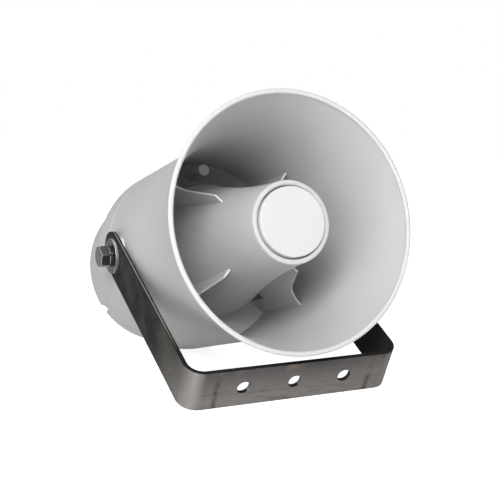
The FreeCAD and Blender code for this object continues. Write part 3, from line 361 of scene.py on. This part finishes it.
FINISHES = {
    # Spark-eroded moulded plastic of the horn, and the smoother, lighter cap
    "grey_abs": surface("moulded_grey_abs", "#CDCECC", "#D1D2D0", 0.6, grain=0.5, relief=0.01,
                        patch=60, edge=0.5, edge_wear_and_highlight="#E6E6E4", shine=0.05, tints=horn_tints),
    "white_abs": surface("moulded_white_abs", "#E2E2E1", "#DEDEDD", 0.5, grain=0.5, relief=0.01,
                         patch=40, edge=0.5, shine=0.15),
    # The strap's enamel, and the plated steel of the fixings
    "painted_strap": strap_steel("dark_enamelled_strap"),
    # The dark steel's pale edge colour is a painted highlight on the bolt's edges
    "dark_steel": surface("dark_zinc_steel", "#4A4A49", "#5C5C5B", 0.34, metal=1.0, grain=0.3,
                          relief=0.01, patch=4, edge=0.8, edge_wear_and_highlight="#D2D2CF", glance=0.7),
    "zinc_steel": surface("bright_zinc_steel", "#B4B4B2", "#C0C0BD", 0.28, metal=1.0, grain=0.3,
                          relief=0.01, patch=6, edge_wear_and_highlight="#DDDDDA"),
    "brass": surface("turned_brass", "#B5985A", "#C0A468", 0.3, metal=1.0, grain=0.3,
                     relief=0.01, patch=8),
    # Seals and washers
    "black_rubber": surface("moulded_black_rubber", "#232323", "#2A2A2A", 0.7, grain=0.4,
                            relief=0.03, patch=10),
    "fibre": surface("vulcanised_fibre", "#2E2A28", "#383330", 0.75, grain=0.3, relief=0.03,
                     patch=5),
    # Driver
    "die_cast": surface("die_cast_aluminium", "#9A9A9A", "#A4A4A2", 0.45, metal=1.0, grain=0.6,
                        relief=0.03, patch=12),
    "mild_steel": surface("turned_mild_steel", "#8C8C8A", "#969694", 0.35, metal=1.0, grain=0.3,
                          relief=0.01, patch=12),
    "ferrite": surface("pressed_ferrite", "#2B2B2B", "#333333", 0.6, grain=0.5, relief=0.03,
                       patch=8),
    "titanium": surface("drawn_titanium_foil", "#A0A0A4", "#AAAAAD", 0.3, metal=1.0, grain=0.4,
                        relief=0.005, patch=8),
    "copper": surface("enamelled_copper_wire", "#B8744A", "#A9653D", 0.3, metal=1.0, grain=0.5,
                      relief=0.05, patch=4),
    # Transformer, terminals and gland
    "lamination": surface("varnished_laminations", "#6B6866", "#605D5B", 0.5, metal=1.0,
                          grain=0.5, relief=0.03),
    "nylon_black": surface("moulded_black_nylon", "#242424", "#2B2B2B", 0.5, grain=0.5,
                           relief=0.01, patch=12),
    "nylon_white": surface("moulded_white_nylon", "#D8D6CC", "#DEDCD2", 0.5, grain=0.5,
                           relief=0.01, patch=12),
}

# The two flat washers have a steel of their own
WASHER = washer_steel("punched_zinc_washer")

for part in frame["record"]["subparts"]:
    node = frame["nodes"][part["node"]]
    node.data.materials.clear()
    node.data.materials.append(FINISHES[part["material_slot"]])
for washer in ("left_washer", "right_washer"):
    frame["nodes"][washer].material_slots[0].material = WASHER


# Camera, floor and light

# The photograph's view: place and nearest distance in metres, turn in degrees, lens and sensor
# in millimetres
VIEW_PLACE = (-0.3862, -0.8677, 0.2145)
VIEW_TURN = (83.26, 0.41, -25.6)
VIEW_LENS = 79.2
VIEW_SENSOR = 36
VIEW_NEAREST = 0.02

# The table glows less under the object, where its shadow falls: distances in metres
TABLE_SIZE = 8
GLOW_FROM, GLOW_TO = 0.3, 0.7
GLOW_NEAR, GLOW_FAR = 0.84, 1.0

SKY_SEEN = 1.0
SKY_LIGHT = 0.12

# Lamps: degrees left of the horn's front, degrees above the table, and watts
LAMPS = {
    "key": (30, 28, 17.5),
    "side": (45, 12, 4.9),
    "front": (15, 12, 2.3),
    "top": (60, 70, 2.5),
    "left": (65, 12, 2.2),
    "back_left": (150, 40, 2.2),
    "back_right": (-130, 30, 9.0),
}
LAMP_TARGET = Vector((0, -0.05, 0.12))
LAMP_DISTANCE = 1.7
LAMP_SIZE = 0.6


def camera():
    """The photograph's view, from the fitted direction and distance."""
    lens = bpy.data.cameras.new("camera")
    lens.lens = VIEW_LENS
    lens.sensor_width = VIEW_SENSOR
    lens.clip_start = VIEW_NEAREST
    view = bpy.data.objects.new("camera", lens)
    view.location = VIEW_PLACE
    view.rotation_euler = [math.radians(angle) for angle in VIEW_TURN]
    bpy.context.scene.collection.objects.link(view)
    bpy.context.scene.camera = view


def backdrop_ray(material):
    """1 for the rays that show a backdrop: the camera's, and those seen in gloss or glass."""
    ray = add(material, "ShaderNodeLightPath")
    seen = ray.outputs["Is Camera Ray"]
    for kind in ("Is Glossy Ray", "Is Transmission Ray"):
        seen = add(material, "ShaderNodeMath", {"operation": "MAXIMUM"},
                   {0: seen, 1: ray.outputs[kind]}).outputs[0]
    return seen


def floor():
    """A white table top: white to the camera, with a faint shadow of the object on it."""
    bpy.ops.mesh.primitive_plane_add(size=TABLE_SIZE, location=(0, 0, 0))
    table = bpy.context.object
    table.name = "floor"
    material = empty_material("white_table")
    paper = add(material, "ShaderNodeBsdfDiffuse", {"Color": linear("#F2F2F2")})
    away = add(material, "ShaderNodeVectorMath", {"operation": "LENGTH"}, {0: place(material)})
    faded = ramp(material, away.outputs["Value"], GLOW_FROM, GLOW_TO)
    glow = add(material, "ShaderNodeEmission", {"Color": grey(1)},
               {"Strength": spread(material, faded, GLOW_NEAR, GLOW_FAR)})
    lit = add(material, "ShaderNodeAddShader", links={0: paper.outputs[0], 1: glow.outputs[0]})
    mix = add(material, "ShaderNodeMixShader",
              links={0: backdrop_ray(material), 1: paper.outputs[0], 2: lit.outputs[0]})
    add(material, "ShaderNodeOutputMaterial", links={"Surface": mix.outputs[0]})
    table.data.materials.append(material)


def sky():
    """White to the camera and in gloss, and a weak grey light on the object."""
    world = bpy.data.worlds.new("studio")
    bpy.context.scene.world = world
    world.use_nodes = True
    world.node_tree.nodes.clear()
    white = add(world, "ShaderNodeBackground", {"Color": grey(1), "Strength": SKY_SEEN})
    soft = add(world, "ShaderNodeBackground", {"Color": grey(1), "Strength": SKY_LIGHT})
    mix = add(world, "ShaderNodeMixShader",
              links={0: backdrop_ray(world), 1: soft.outputs[0], 2: white.outputs[0]})
    add(world, "ShaderNodeOutputWorld", links={"Surface": mix.outputs[0]})


def lamp(name, left, above, power):
    """A soft round lamp, so many degrees left of the horn's front and above the table."""
    turn, lift = math.radians(left), math.radians(above)
    level = math.cos(lift)
    way = Vector((-math.sin(turn) * level, -math.cos(turn) * level, math.sin(lift)))
    light = bpy.data.lights.new(name, "AREA")
    light.shape = "DISK"
    light.size = LAMP_SIZE
    light.energy = power
    holder = bpy.data.objects.new(name, light)
    holder.location = LAMP_TARGET + way * LAMP_DISTANCE
    holder.rotation_euler = (-way).to_track_quat("-Z", "Y").to_euler()
    bpy.context.scene.collection.objects.link(holder)


bpy.context.scene.view_settings.view_transform = "Standard"
camera()
floor()
sky()
for lamp_name, (left, above, power) in LAMPS.items():
    lamp(lamp_name, left, above, power)
